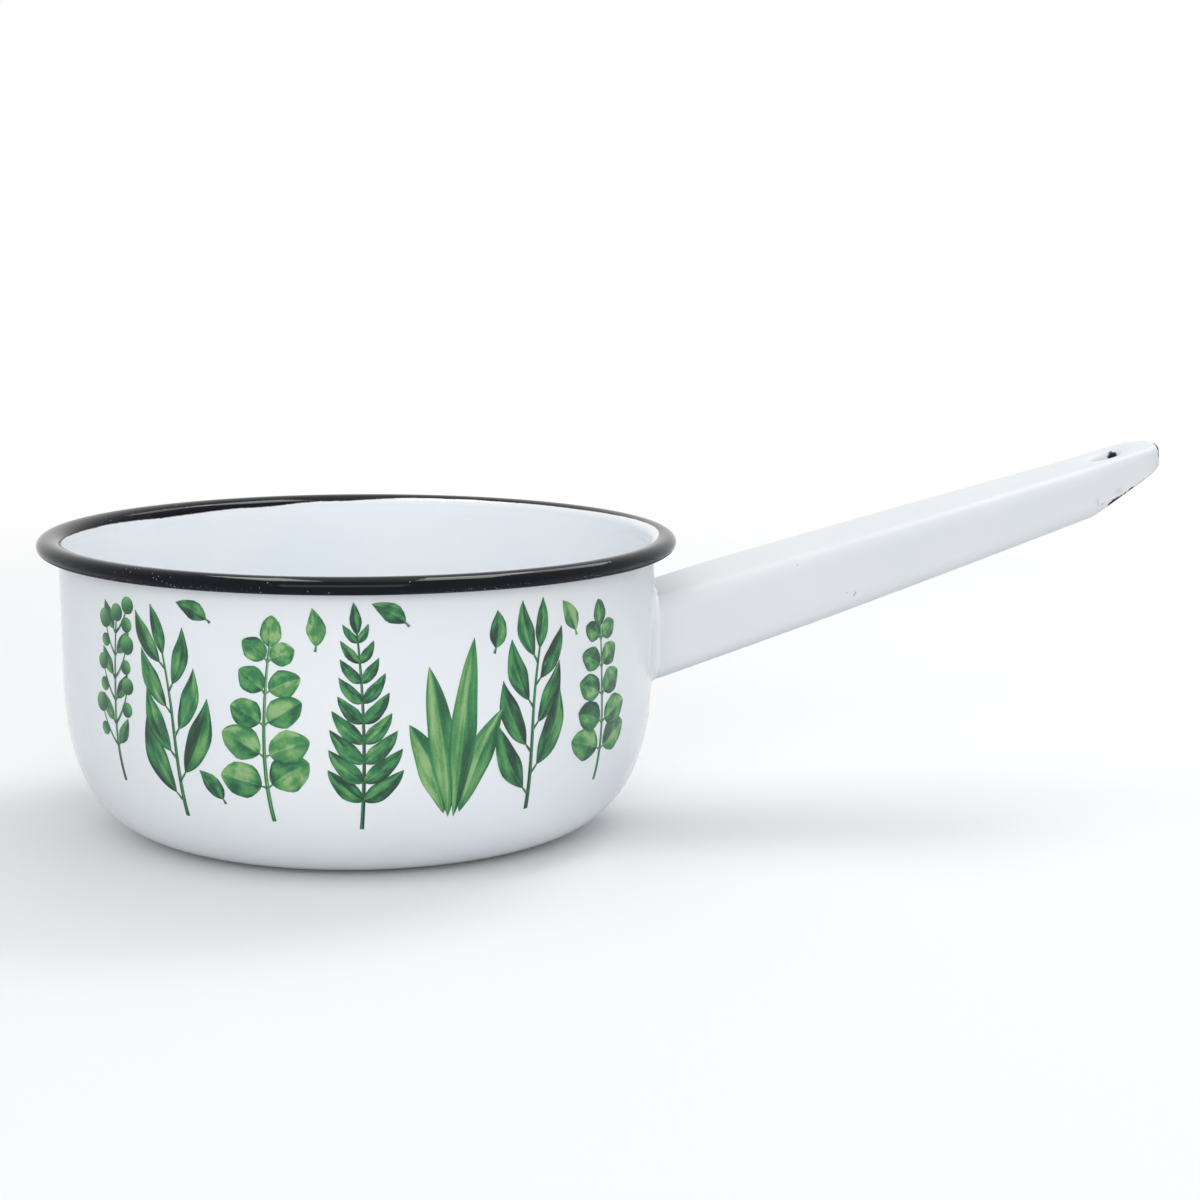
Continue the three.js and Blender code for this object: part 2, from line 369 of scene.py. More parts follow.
class Net:
    """Points and faces of a mesh, laid as grids that share points."""

    def __init__(self):
        self.points = []
        self.faces = []

    def add(self, points):
        self.points += points
        return list(range(len(self.points) - len(points), len(self.points)))

    def grid(self, rows):
        """Faces between neighbouring rows of point numbers, with three corners where two coincide."""
        for a, b in zip(rows, rows[1:]):
            for i in range(len(a) - 1):
                corners = [a[i], a[i + 1], b[i + 1], b[i]]
                face = [c for k, c in enumerate(corners) if c != corners[k - 1]]
                self.faces.append(face)

    def open_edges(self):
        """Edges that only one face uses."""
        edges = {}
        for face in self.faces:
            for a, b in zip(face, [*face[1:], face[0]]):
                edges[(a, b)] = True
        return [e for e in edges if e[::-1] not in edges]

    def close_with(self, back):
        """A second skin with the same faces turned over, joined to the first along its open edges."""
        count = len(self.points)
        edges = self.open_edges()
        self.faces += [[c + count for c in face[::-1]] for face in self.faces]
        self.faces += [[b, a, a + count, b + count] for a, b in edges]
        self.points += back

    def turn_over(self):
        self.faces = [face[::-1] for face in self.faces]

    def merge(self, other):
        count = len(self.points)
        self.faces += [[c + count for c in face] for face in other.faces]
        self.points += other.points


# Rows of points along, round, down and across the handle's skin, closer together at its rims
RIM_MARGIN = 0.7
HOLE_MARGIN = 6.2
ROOT_ROWS = spread(0, SCOOP_START - RIM_MARGIN, 30)
HOLE_ROWS = spread(HOLE_X - HOLE_MARGIN, NOSE_CENTRE, 6)
SIDE_ROWS = [*ROOT_ROWS, SCOOP_START, SCOOP_START + RIM_MARGIN, *HOLE_ROWS]
NOSE_ANGLES = spread(0, 90, 10)[1:]
EDGE_ANGLES = spread(0, 90, 4)
ROWS_DOWN = 12
ROWS_ACROSS = 10
FLANGE_ROWS = 5


def plan_points(inset):
    """Near half of the plan, from the root along the side and round the nose to the tip."""
    side = [(x, -(half_width(x) - inset)) for x in SIDE_ROWS]
    nose = []
    for a in map(math.radians, NOSE_ANGLES):
        x = NOSE_CENTRE + (NOSE_LENGTH - inset) * math.sin(a) ** (2 / NOSE_POWER)
        nose.append((x, -(NOSE_WIDTH / 2 - inset) * max(math.cos(a), 0) ** (2 / NOSE_POWER)))
    return side + nose


def skirt_profile(x, sheet):
    """Side of the section at x as (inset, height), from the top down to the lower edge."""
    rounding = top_rounding(x)
    top, under = rounding - sheet, UNDER_ROUNDING - sheet
    profile = []
    for a in map(math.radians, EDGE_ANGLES):
        profile.append((rounding - top * math.sin(a), top * math.cos(a) - rounding))
    depth, edge = depth_at(x), edge_depth(x)
    bend_start = depth - UNDER_ROUNDING
    straight = min(edge, bend_start) - rounding
    bend = math.asin(min(1, max(0, edge - bend_start) / under))
    length = straight + under * bend
    for s in [*spread(0, length - RIM_MARGIN, ROWS_DOWN)[1:], length]:
        if s <= straight:
            profile.append((sheet, -rounding - s))
        else:
            b = (s - straight) / under
            profile.append((UNDER_ROUNDING - under * math.cos(b), -bend_start - under * math.sin(b)))
    return profile


def skirt_columns(outline, sheet):
    """Points down the near side, a column for each place along the plan."""
    profiles = [skirt_profile(x, sheet) for x in outline]
    columns = [[] for _ in outline]
    for level in zip(*profiles):
        for i, (inset, z) in enumerate(level):
            x, y = plan_points(inset)[i]
            columns[i].append(to_wall((leaned(x, z), y, z)))
    return columns


def top_face(net, outline, near_rows, far_rows, sheet):
    """The crowned top between the two sides, with the hang hole in a block left open for it."""
    rows = []
    for i, x in enumerate(outline[:-1]):
        _, y, z = net.points[near_rows[i][0]]
        plan_x = leaned(plan_points(top_rounding(x))[i][0], 0)
        across = []
        for v in spread(-1, 1, ROWS_ACROSS)[1:-1]:
            crown = TOP_CROWN * (1 - v * v)
            across.append(to_wall((plan_x, -v * y, z + crown - dish(plan_x, v * y))))
        rows.append([near_rows[i][0], *net.add(across), far_rows[i][0]])
    rows.append([near_rows[-1][0]] * (ROWS_ACROSS + 1))
    first = SIDE_ROWS.index(HOLE_ROWS[0])
    last = first + len(HOLE_ROWS) - 1
    net.grid(rows[: first + 1])
    net.grid(rows[last:])
    block = rows[first : last + 1]
    net.grid([row[:2] for row in block])
    net.grid([row[-2:] for row in block])
    hang_hole(net, [row[1:-1] for row in block], sheet)


def turned_in_edge(net, rows, side):
    """The strip underneath, from the lower edge of one side in to the seam."""
    closed = SIDE_ROWS[: SIDE_ROWS.index(SCOOP_START) + 1]
    strip = []
    for x, row in zip(closed, rows):
        _, y, z = net.points[row[-1]]
        reaches = [*spread(abs(y), SEAM_WIDTH / 2 + RIM_MARGIN, FLANGE_ROWS)[1:], SEAM_WIDTH / 2]
        inner = [to_wall((x, side * reach, z)) for reach in reaches]
        strip.append([row[-1], *net.add(inner)])
    net.grid([row[::-1] for row in strip] if side < 0 else strip)


def handle_skin(net, sheet):
    """One skin of the folded sheet: the outer one, or the inner one set in by the sheet."""
    outline = [x for x, _ in plan_points(0)]
    near = skirt_columns(outline, sheet)
    near_rows = [net.add(column) for column in near]
    far_rows = [net.add([(x, -y, z) for x, y, z in column]) for column in near[:-1]]
    far_rows.append(near_rows[-1])
    net.grid([row[::-1] for row in near_rows])
    net.grid(far_rows)
    top_face(net, outline, near_rows, far_rows, sheet)
    turned_in_edge(net, near_rows, -1)
    turned_in_edge(net, far_rows, 1)


def dish(x, y):
    """The top is pressed down a little round the hang hole."""
    u = min(1, math.hypot(x - HOLE_X, y) / HOLE_DISH_REACH)
    return HOLE_DISH_DEPTH * (1 - u * u * (3 - 2 * u))


def hang_hole(net, block, sheet):
    """Rings of (radius, height) from the square opening in the top down the hole's drawn lip."""
    far = [row[-1] for row in block[1:]]
    near = [row[0] for row in block[-2:0:-1]]
    loop = [*block[0], *far, *block[-1][-2::-1], *near]
    radius, mouth = HOLE_DIAMETER / 2, HOLE_MOUTH_ROUNDING
    foot = -HANDLE_SHEET - HOLE_LIP_DEPTH
    if sheet:
        outer = radius + HOLE_LIP_WALL
        steps = [(outer + 0.8, -sheet), (outer + 0.2, -sheet - 0.15), (outer, -sheet - 0.5)]
        steps += [(outer, foot + 0.3), (outer - 0.2, foot)]
    else:
        steps = [(radius + mouth + 0.4, TOP_CROWN), (radius + mouth, TOP_CROWN - 0.05)]
        steps += [(radius + mouth * 0.3, TOP_CROWN - mouth * 0.3), (radius, TOP_CROWN - mouth)]
        steps += [(radius, foot + 0.3)]
    rings = [loop]
    for r, z in steps:
        ring = []
        for p in loop:
            x, y, _ = net.points[p]
            reach = math.hypot(x - HOLE_X, y)
            ring.append((HOLE_X + r * (x - HOLE_X) / reach, r * y / reach, z - dish(HOLE_X + r, 0)))
        rings.append(net.add(ring))
    net.grid([[*ring, ring[0]] for ring in rings])


def make_handle():
    """The two skins joined, with each point's place along the handle and above its lower edge."""
    net, inner = Net(), Net()
    handle_skin(net, 0)
    handle_skin(inner, HANDLE_SHEET)
    net.close_with(inner.points)
    net.turn_over()
    handle = add_object("handle_sheet", placed(net.points), net.faces)
    put_values(handle, "along_handle", "FLOAT_VECTOR", [c for p in net.points for c in p])
    put_values(handle, "above_edge", "FLOAT", [z + edge_depth(x) for x, _, z in net.points])
    subdivide(handle, 2)
    settle(handle, "white_enamel", "handle_shell")
    return handle


# The fillet of weld and enamel round the handle's root


def root_outline(steps):
    """Section of the handle's root as (across, height, facing), anticlockwise from the nose."""
    half, top, under = ROOT_WIDTH / 2, top_rounding(0), UNDER_ROUNDING
    corners = (
        (half - top, -top, top, 0),
        (top - half, -top, top, 90),
        (under - half, under - ROOT_DEPTH, under, 180),
        (half - under, under - ROOT_DEPTH, under, 270),
    )
    outline = []
    for k, (y, z, r, start) in enumerate(corners):
        for a in spread(math.radians(start), math.radians(start + 90), 8):
            outline.append((y + r * math.cos(a), z + r * math.sin(a), a))
        next_y, next_z, next_r, next_start = corners[(k + 1) % 4]
        turn = math.radians(next_start)
        y0, z0, facing = outline[-1]
        y1, z1 = next_y + next_r * math.cos(turn), next_z + next_r * math.sin(turn)
        for f in spread(0, 1, steps)[1:-1]:
            crown = TOP_CROWN * 4 * f * (1 - f) if k == 0 else 0
            outline.append((y0 + (y1 - y0) * f, z0 + (z1 - z0) * f + crown, facing))
    return outline


def weld_share(facing):
    """The fillet is full at the sides, smaller on top and smallest underneath."""
    return 1 - WELD_TOP_LOSS * max(0, math.sin(facing)) - WELD_UNDER_LOSS * max(0, -math.sin(facing))


def make_weld():
    """A hollow fillet out along the wall and up the handle's skin, with its edges sunk in both."""
    section = []
    for a in spread(0, math.pi / 2, 8):
        section.append((1 - math.sin(a), 1 - math.cos(a)))
    section.append((0, 0))
    net = Net()
    rings = []
    for along, out in section:
        ring = []
        for y, z, facing in root_outline(12):
            leg = WELD_LEG * weld_share(facing)
            y += (out * leg - WELD_SINK) * math.cos(facing)
            z += (out * leg - WELD_SINK) * math.sin(facing)
            ring.append((wall_along(y, z) + along * leg - WELD_SINK, y, z))
        rings.append(net.add(ring))
    rings.append(rings[0])
    net.grid([[*ring, ring[0]] for ring in rings])
    net.turn_over()
    weld = add_object("root_weld", placed(net.points), net.faces)
    sharpen(weld, 50)
    settle(weld, "white_enamel", "handle_weld")
    return weld


# The green print, laid out flat in millimetres across and up the bowl's outside, then wrapped round it


def outside_profile():
    """The bowl's outside, with the distance along it up from the corner's top."""
    points = [*bowl_side(0, PRINT_PROFILE_STEPS), (WALL_RADIUS, WALL_TOP)]
    along = [0.0]
    for a, b in zip(points, points[1:]):
        along.append(along[-1] + math.dist(a, b))
    return [length - along[-2] for length in along], points


PROFILE_UP, PROFILE_POINTS = outside_profile()


def on_bowl(across, up, lift):
    """Place on the bowl for a place in the flat layout, lifted off the enamel."""
    k = bisect.bisect(PROFILE_UP, up, 1, len(PROFILE_UP) - 1)
    (r0, z0), (r1, z1) = PROFILE_POINTS[k - 1 : k + 1]
    step = PROFILE_UP[k] - PROFILE_UP[k - 1]
    share = (up - PROFILE_UP[k - 1]) / step
    r = r0 + (r1 - r0) * share + lift * (z1 - z0) / step
    z = z0 + (z1 - z0) * share - lift * (r1 - r0) / step
    angle = math.radians(PRINT_MIDDLE) + across / WALL_RADIUS
    return r * math.cos(angle), r * math.sin(angle), z


class Stroke:
    """An arc in the flat layout, whose heading turns by the bend over its length."""

    def __init__(self, base, heading, bend, length):
        self.base = base
        self.heading = heading
        self.bend = bend
        self.length = length

    def at(self, share):
        """Place and heading at a share of the length."""
        half_turn = math.radians(self.bend * share / 2)
        chord = self.length * share * (math.sin(half_turn) / half_turn if half_turn else 1)
        way = math.radians(self.heading) + half_turn
        place = (self.base[0] + chord * math.cos(way), self.base[1] + chord * math.sin(way))
        return place, self.heading + self.bend * share


class Print:
    """Thin patches of one kind on the bowl, with what their colour comes from at each point."""

    def __init__(self, name):
        self.name = name
        self.net = Net()
        self.coords = []
        self.tones = []

    def make(self, material):
        obj = add_object(self.name, self.net.points, self.net.faces)
        put_values(obj, "leaf", "FLOAT_VECTOR", self.coords)
        put_values(obj, "tone", "FLOAT", self.tones)
        sharpen(obj, 60)
        settle(obj, "white_enamel")
        obj.data.materials.append(material)


class Foliage:
    """Sprigs of leaves, stems and berries."""

    def __init__(self, seed):
        self.random = random.Random(seed)
        self.leaves = Print("leaf_print")
        self.stems = Print("stem_print")
        self.berries = Print("berry_print")
        self.layer = 0

    def vary(self, amount):
        return 1 + self.random.uniform(-amount, amount)

    def lay(self, sheet, stroke, half_width, tone, rows, columns):
        """A patch along a stroke, closed underneath, each on the next of a few thin layers."""
        lift = PRINT_LIFT + PRINT_STEP * (self.layer % PRINT_LAYERS)
        self.layer += 1
        seed = self.random.random()
        patch, grid, back, coords = Net(), [], [], []
        for turn in spread(0, math.pi, rows):
            u = (1 - math.cos(turn)) / 2
            (x, y), heading = stroke.at(u)
            side = math.radians(heading + 90)
            reach = max(half_width(u), PRINT_BLUNT)
            row = []
            for v in spread(1, -1, columns):
                across, up = x + v * reach * math.cos(side), y + v * reach * math.sin(side)
                row.append(on_bowl(across, up, lift))
                back.append(on_bowl(across, up, PRINT_BACK))
                coords += [u, v, seed]
            grid.append(patch.add(row))
        patch.grid(grid)
        patch.close_with(back)
        sheet.net.merge(patch)
        sheet.coords += coords * 2
        sheet.tones += [tone] * len(patch.points)

    def stem(self, stroke, thickness, tone):
        self.lay(self.stems, stroke, lambda u: thickness / 2 * (1 - 0.55 * u), tone, 20, 2)

    def leaf(self, stroke, width, belly, point, tone):
        """Widest nearer its base for a small belly, and more drawn out for a large point."""
        wave = self.random.uniform(0, 6)

        def half_width(u):
            swell = math.sin(math.pi * u**belly) ** point
            return width / 2 * swell * (1 + 0.05 * math.sin(12 * u + wave))

        tone += self.random.uniform(-0.1, 0.1)
        self.lay(self.leaves, stroke, half_width, tone, max(10, round(stroke.length)), 6)

    def stalked_leaf(self, place, heading, bend, length, width, belly, point, tone):
        """A leaf on a short stalk of its own."""
        stalk = Stroke(place, heading, bend / 4, length * 0.16)
        self.stem(stalk, 0.8, tone)
        foot, way = stalk.at(0.9)
        self.leaf(Stroke(foot, way, bend, length), width, belly, point, tone)

    def berry(self, place, heading, size, tone):
        stroke = Stroke(place, heading, 0, size)
        self.lay(self.berries, stroke, lambda u: size * math.sqrt(u * (1 - u)), tone, 12, 8)

    def fern(self, base, heading, bend, length, tone):
        """Pairs of leaflets that shorten to the tip."""
        spine = Stroke(base, heading, bend, length)
        self.stem(spine, 1.1, tone)
        for share in spread(0.16, 0.93, 8):
            size = length * (0.26 - 0.17 * share**1.5)
            place, way = spine.at(share)
            for side in (-1, 1):
                angle = way + side * (66 - 20 * share)
                leaflet = Stroke(place, angle, -side * 26, size * self.vary(0.08))
                self.leaf(leaflet, size * 0.37, 0.72, 0.8, tone)
        place, way = spine.at(0.97)
        self.leaf(Stroke(place, way, 0, length * 0.15), length * 0.055, 0.8, 0.8, tone)

    def coin_sprig(self, base, heading, bend, length, tone):
        """Pairs of nearly round leaves, smaller to the tip."""
        spine = Stroke(base, heading, bend, length)
        self.stem(spine, 1.1, tone)
        for share in spread(0.2, 0.9, 4):
            size = length * (0.27 - 0.13 * share)
            place, way = spine.at(share)
            for side in (-1, 1):
                angle = way + side * (62 - 14 * share) * self.vary(0.12)
                reach = size * self.vary(0.1)
                self.stalked_leaf(place, angle, side * 12, reach, size * 0.86, 0.9, 0.62, tone)
        place, way = spine.at(0.98)
        self.leaf(Stroke(place, way, 8, length * 0.17), length * 0.12, 0.9, 0.62, tone)

    def willow(self, base, heading, bend, length, tone):
        """Long slender leaves by turns to either side."""
        spine = Stroke(base, heading, bend, length)
        self.stem(spine, 1.2, tone)
        side = 1
        for share in spread(0.1, 0.9, 6):
            size = length * (0.5 - 0.18 * share) * self.vary(0.08)
            place, way = spine.at(share)
            self.stalked_leaf(place, way + side * 44, -side * 30, size, size * 0.32, 0.85, 1.0, tone)
            side = -side
        place, way = spine.at(0.98)
        self.leaf(Stroke(place, way, 10, length * 0.3), length * 0.09, 0.85, 1.0, tone)

    def blades(self, base, heading, length, tone):
        """A clump of broad blades that lean out from feet side by side."""
        for lean, size in ((21, 0.56), (-22, 0.62), (8, 0.86), (-7, 1.0)):
            foot = (base[0] - lean * 0.1, base[1] + abs(lean) * 0.08)
            stroke = Stroke(foot, heading + lean * 0.5, lean * self.vary(0.15), length * size)
            self.leaf(stroke, length * 0.155 * self.vary(0.06), 1.0, 0.85, tone)

    def berry_twig(self, base, heading, bend, length, tone):
        """Side twigs that end in berries, with a small leaf at each fork."""
        spine = Stroke(base, heading, bend, length)
        self.stem(spine, 1.1, tone)
        side = 1
        for share in spread(0.22, 0.92, 5):
            place, way = spine.at(share)
            twig = Stroke(place, way + side * 46, -side * 30, length * (0.27 - 0.11 * share))
            self.stem(twig, 0.7, tone)
            tip, tip_way = twig.at(0.97)
            self.berry(tip, tip_way, 4.6 * self.vary(0.12), tone + 0.1)
            fork, fork_way = twig.at(0.5)
            self.berry(fork, fork_way + side * 55, 3.6 * self.vary(0.12), tone + 0.1)
            angle, size = way - side * 48, length * 0.19
            self.stalked_leaf(place, angle, side * 20, size, length * 0.085, 0.8, 0.9, tone)
            side = -side
        tip, tip_way = spine.at(0.99)
        self.berry(tip, tip_way, 4.6, tone + 0.1)


# Loose leaves of the print: place across and up, heading and tone
LOOSE_LEAVES = (
    (-38, 22, 140, 0.4),
    (-11, 16, 78, 0.62),
    (12, 22, 132, 0.5),
    (34, 14, 70, 0.42),
    (60, 16, 104, 0.7),
    (-36, -24, 112, 0.5),
)


def make_print():
    """A row of sprigs round the front, with loose leaves between them."""
    foliage = Foliage(PRINT_SEED)
    foliage.berry_twig((-70, -22), 96, -14, 42, 0.42)
    foliage.willow((-49, -29), 88, 14, 43, 0.46)
    foliage.coin_sprig((-23, -28), 97, -16, 46, 0.66)
    foliage.fern((0, -30), 86, 10, 52, 0.36)
    foliage.blades((23.5, -28), 91, 46, 0.72)
    foliage.willow((46, -28), 95, -14, 43, 0.34)
    foliage.coin_sprig((71, -24), 88, 8, 42, 0.56)
    for x, y, heading, tone in LOOSE_LEAVES:
        foliage.stalked_leaf((x, y), heading, 24, 9.5, 4.8, 0.8, 0.95, tone)
    green = leaf_green()
    foliage.leaves.make(green)
    foliage.stems.make(green)
    foliage.berries.make(berry_green())


# Camera, floor and light


def turned(x, y, z):
    """From the camera's own layout to the part's frame, whose X runs along the handle."""
    return Matrix.Rotation(-math.radians(HANDLE_TURN), 3, "Z") @ Vector((x, y, z))


def make_camera():
    pitch, roll = math.radians(CAMERA_PITCH), math.radians(CAMERA_ROLL)
    forward = Vector((0, math.cos(pitch), -math.sin(pitch)))
    level_up = Vector((0, math.sin(pitch), math.cos(pitch)))
    right = Vector((math.cos(roll), 0, 0)) + level_up * math.sin(roll)
    up = Vector((-math.sin(roll), 0, 0)) + level_up * math.cos(roll)
    axes = Matrix((turned(*right), turned(*up), turned(*-forward))).transposed()
    camera = bpy.data.objects.new("camera", bpy.data.cameras.new("camera"))
    camera.data.lens = CAMERA_LENS
    camera.data.sensor_width = SENSOR_WIDTH
    camera.data.clip_start, camera.data.clip_end = 0.01, 50
    camera.matrix_world = Matrix.Translation(turned(*CAMERA_PLACE) * MM) @ axes.to_4x4()
    bpy.context.collection.objects.link(camera)
    bpy.context.scene.camera = camera


def make_lamp(name, place, aim, size, power):
    lamp = bpy.data.lights.new(name, "AREA")
    lamp.shape = "RECTANGLE"
    lamp.size, lamp.size_y = size
    lamp.energy = power
    obj = bpy.data.objects.new(name, lamp)
    obj.location = turned(*place)
    obj.rotation_euler = (turned(*aim) - turned(*place)).to_track_quat("-Z", "Y").to_euler()
    bpy.context.collection.objects.link(obj)
    return obj


def by_sight(tree, plain, seen):
    """One colour for the light that falls on things, another where the eye or a mirror meets it."""
    path = tree.nodes.new("ShaderNodeLightPath")
    share = path.outputs["Is Camera Ray"]
    for ray in ("Is Glossy Ray", "Is Transmission Ray"):
        either = tree.nodes.new("ShaderNodeMath")
        either.operation = "MAXIMUM"
        tree.links.new(share, either.inputs[0])
        tree.links.new(path.outputs[ray], either.inputs[1])
        share = either.outputs[0]
    mix = tree.nodes.new("ShaderNodeMix")
    mix.data_type = "RGBA"
    tree.links.new(share, mix.inputs[0])
    mix.inputs[6].default_value = (*plain, 1)
    mix.inputs[7].default_value = (*seen, 1)
    return mix.outputs[2]


def make_studio():
    """White all round for the eye and in reflections, even room light, three soft boxes, and
    two strips overhead that show in the gloss alone."""
    bpy.context.scene.view_settings.view_transform = "Standard"
    world = bpy.data.worlds.new("studio")
    bpy.context.scene.world = world
    world.use_nodes = True
    tree = world.node_tree
    tree.links.new(by_sight(tree, ROOM_LIGHT, (1, 1, 1)), tree.nodes["Background"].inputs["Color"])

    for name, place, size, power in SOFT_BOXES:
        make_lamp(name, place, LAMP_AIM, size, power)
    for name, (x, y, z), size, power in STRIPS:
        strip = make_lamp(name, (x, y, z), (x, y, 0.0), size, power)
        strip.visible_diffuse = False


def make_floor():
    """Pale floor that fades into the background far from the pan."""
    points = [
        (FLOOR_REACH * math.cos(a), FLOOR_REACH * math.sin(a), FLOOR_LEVEL)
        for a in spread(0, 2 * math.pi, FLOOR_SIDES)[:-1]
    ]
    floor = add_object("floor", points, [list(range(FLOOR_SIDES))])
    material = bpy.data.materials.new("floor")
    material.use_nodes = True
    tree = material.node_tree
    tree.nodes.clear()
    matt = tree.nodes.new("ShaderNodeBsdfDiffuse")
    tree.links.new(by_sight(tree, FLOOR_BOUNCE, FLOOR), matt.inputs["Color"])
    clear = tree.nodes.new("ShaderNodeBsdfTransparent")
    place = tree.nodes.new("ShaderNodeTexCoord")
    length = tree.nodes.new("ShaderNodeVectorMath")
    length.operation = "LENGTH"
    fade = tree.nodes.new("ShaderNodeMapRange")
    fade.interpolation_type = "SMOOTHSTEP"
    fade.inputs["From Min"].default_value = FADE_START * MM
    fade.inputs["From Max"].default_value = FADE_END * MM
    mix = tree.nodes.new("ShaderNodeMixShader")
    output = tree.nodes.new("ShaderNodeOutputMaterial")
    tree.links.new(place.outputs["Object"], length.inputs[0])
    tree.links.new(length.outputs["Value"], fade.inputs["Value"])
    tree.links.new(fade.outputs["Result"], mix.inputs[0])
    tree.links.new(matt.outputs[0], mix.inputs[1])
    tree.links.new(clear.outputs[0], mix.inputs[2])
    tree.links.new(mix.outputs[0], output.inputs["Surface"])
    floor.data.materials.append(material)


# Materials


class Paint:
    """A material around one Principled shader, with short ways to add nodes."""

    def __init__(self, name, roughness, specular=0.5):
        self.material = bpy.data.materials.new(name)
        self.material.use_nodes = True
        self.tree = self.material.node_tree
        self.shader = self.tree.nodes["Principled BSDF"]
        self.shader.inputs["Roughness"].default_value = roughness
        self.shader.inputs["Specular IOR Level"].default_value = specular

    def put(self, value, socket):
        if isinstance(value, bpy.types.NodeSocket):
            self.tree.links.new(value, socket)
        elif socket.type == "RGBA":
            socket.default_value = (*value, 1)
        else:
            socket.default_value = value

    def node(self, kind, result, settings=(), **inputs):
        made = self.tree.nodes.new("ShaderNode" + kind)
        for name, value in dict(settings).items():
            setattr(made, name, value)
        for name, value in inputs.items():
            self.put(value, made.inputs[name.replace("_", " ")])
        return made.outputs[result]

    def place(self):
        return self.node("TexCoord", "Object")

    def attribute(self, name, result):
        return self.node("Attribute", result, {"attribute_name": name})

    def parts(self, vector):
        split = self.tree.nodes.new("ShaderNodeSeparateXYZ")
        self.put(vector, split.inputs[0])
        return split.outputs

    def noise(self, scale, detail=2.0, vector=None):
        place = vector or self.place()
        return self.node("TexNoise", "Fac", Vector=place, Scale=scale, Detail=detail)

    def map(self, value, low, high, to_low=0.0, to_high=1.0):
        """Smooth step from one range to another."""
        made = self.tree.nodes.new("ShaderNodeMapRange")
        made.interpolation_type = "SMOOTHSTEP"
        self.put(value, made.inputs["Value"])
        ends = {"From Min": low, "From Max": high, "To Min": to_low, "To Max": to_high}
        for name, number in ends.items():
            self.put(number, made.inputs[name])
        return made.outputs["Result"]

    def math(self, operation, a, b=0.0):
        made = self.tree.nodes.new("ShaderNodeMath")
        made.operation = operation
        self.put(a, made.inputs[0])
        self.put(b, made.inputs[1])
        return made.outputs[0]

    def total(self, *values):
        result = values[0]
        for value in values[1:]:
            result = self.math("ADD", result, value)
        return result

    def ramp(self, value, stops):
        made = self.tree.nodes.new("ShaderNodeValToRGB")
        elements = made.color_ramp.elements
        while len(elements) < len(stops):
            elements.new(0.5)
        for element, (position, colour) in zip(elements, stops):
            element.position = position
            element.color = (*colour, 1)
        self.put(value, made.inputs[0])
        return made.outputs["Color"]

    def spot(self, place, centre, reach):
        """Distance from a centre, with 1 at the reach along each axis."""
        off = self.node("VectorMath", "Vector", {"operation": "SUBTRACT"}, Vector=place)
        off.node.inputs[1].default_value = centre
        scaled = self.node("VectorMath", "Vector", {"operation": "DIVIDE"}, Vector=off)
        scaled.node.inputs[1].default_value = reach
        return self.node("VectorMath", "Value", {"operation": "LENGTH"}, Vector=scaled)

    def nearest(self, place, spots):
        """Least distance from any of the spots."""
        least = 9.0
        for centre, reach in spots:
            least = self.math("MINIMUM", self.spot(place, centre, reach), least)
        return least

    def specks(self, scale, reach, share):
        """1 on small dots, one in each of a share of random cells."""
        cells = self.node("TexVoronoi", "Distance", Vector=self.place(), Scale=scale)
        dot = self.map(cells, reach, reach / 2)
        chance = self.node("SeparateColor", "Red", Color=cells.node.outputs["Color"])
        return self.math("MULTIPLY", dot, self.math("LESS_THAN", chance, share))

    def mix(self, share, a, b):
        made = self.tree.nodes.new("ShaderNodeMix")
        made.data_type = "RGBA"
        self.put(share, made.inputs["Factor"])
        self.put(a, made.inputs[6])
        self.put(b, made.inputs[7])
        return made.outputs[2]

    def bump(self, height, strength, distance):
        return self.node("Bump", "Normal", Height=height, Strength=strength, Distance=distance)

    def finish(self, **sockets):
        for name, value in sockets.items():
            self.put(value, self.shader.inputs[name.replace("_", " ")])
        return self.material


WHITE = (0.865, 0.89, 0.91)
WHITE_COOL = (0.835, 0.87, 0.9)
HANDLE_WHITE = (0.785, 0.798, 0.815)
HANDLE_COOL = (0.76, 0.783, 0.81)
THIN_WHITE = (0.52, 0.62, 0.7)
BLACK = (0.002, 0.0035, 0.008)
FRINGE = (0.2, 0.15, 0.12)
PINHOLE = (0.12, 0.11, 0.11)
SPECK = (0.32, 0.4, 0.45)
IRON = (0.018, 0.016, 0.017)
RUST = (0.1, 0.032, 0.02)
STAIN = (0.25, 0.22, 0.2)

ENAMEL_ROUGHNESS = 0.13
HANDLE_ROUGHNESS = 0.33
BARE_ROUGHNESS = 0.5
RIM_ROUGHNESS = 0.06
WIPED_ROUGHNESS = 0.6

# Heights between which the rim's black turns dull
BEAD_DULL_FROM = 77.6
BEAD_DULL_TO = 76.4

# Places along the handle's line between which the rim's fine specks set in, on its far side
FINE_SPECKS_FROM = -15.0
FINE_SPECKS_TO = -60.0

# Chips, thin places and stains in the handle's enamel: centre and reach along, across and up the
# handle, the edge's chips up from its lower edge
CHIPS = (
    ((139.4, 2.3, -1.9), (1.05, 2.25, 1.85)),
    ((150.3, -4.5, -0.6), (0.65, 1.8, 0.65)),
    ((149.9, -6.3, -1.8), (0.75, 1.4, 1.2)),
    ((149.6, -6.8, -3.3), (0.55, 1.1, 0.9)),
)
EDGE_CHIPS = (
    ((132.6, -11.5, 0.0), (2.4, 5.0, 0.95)),
    ((135.9, -11.4, 0.0), (0.7, 5.0, 0.6)),
    ((138.0, -11.2, 0.0), (1.4, 5.0, 0.5)),
)
THIN_PLACES = (
    ((134.3, -11.5, -9.0), (1.8, 2.0, 1.2)),
    ((127.2, -12.0, -10.2), (0.8, 2.0, 1.6)),
    ((149.1, -7.2, -4.7), (0.6, 1.0, 0.4)),
    ((148.2, -8.3, -5.6), (0.6, 1.0, 0.35)),
)
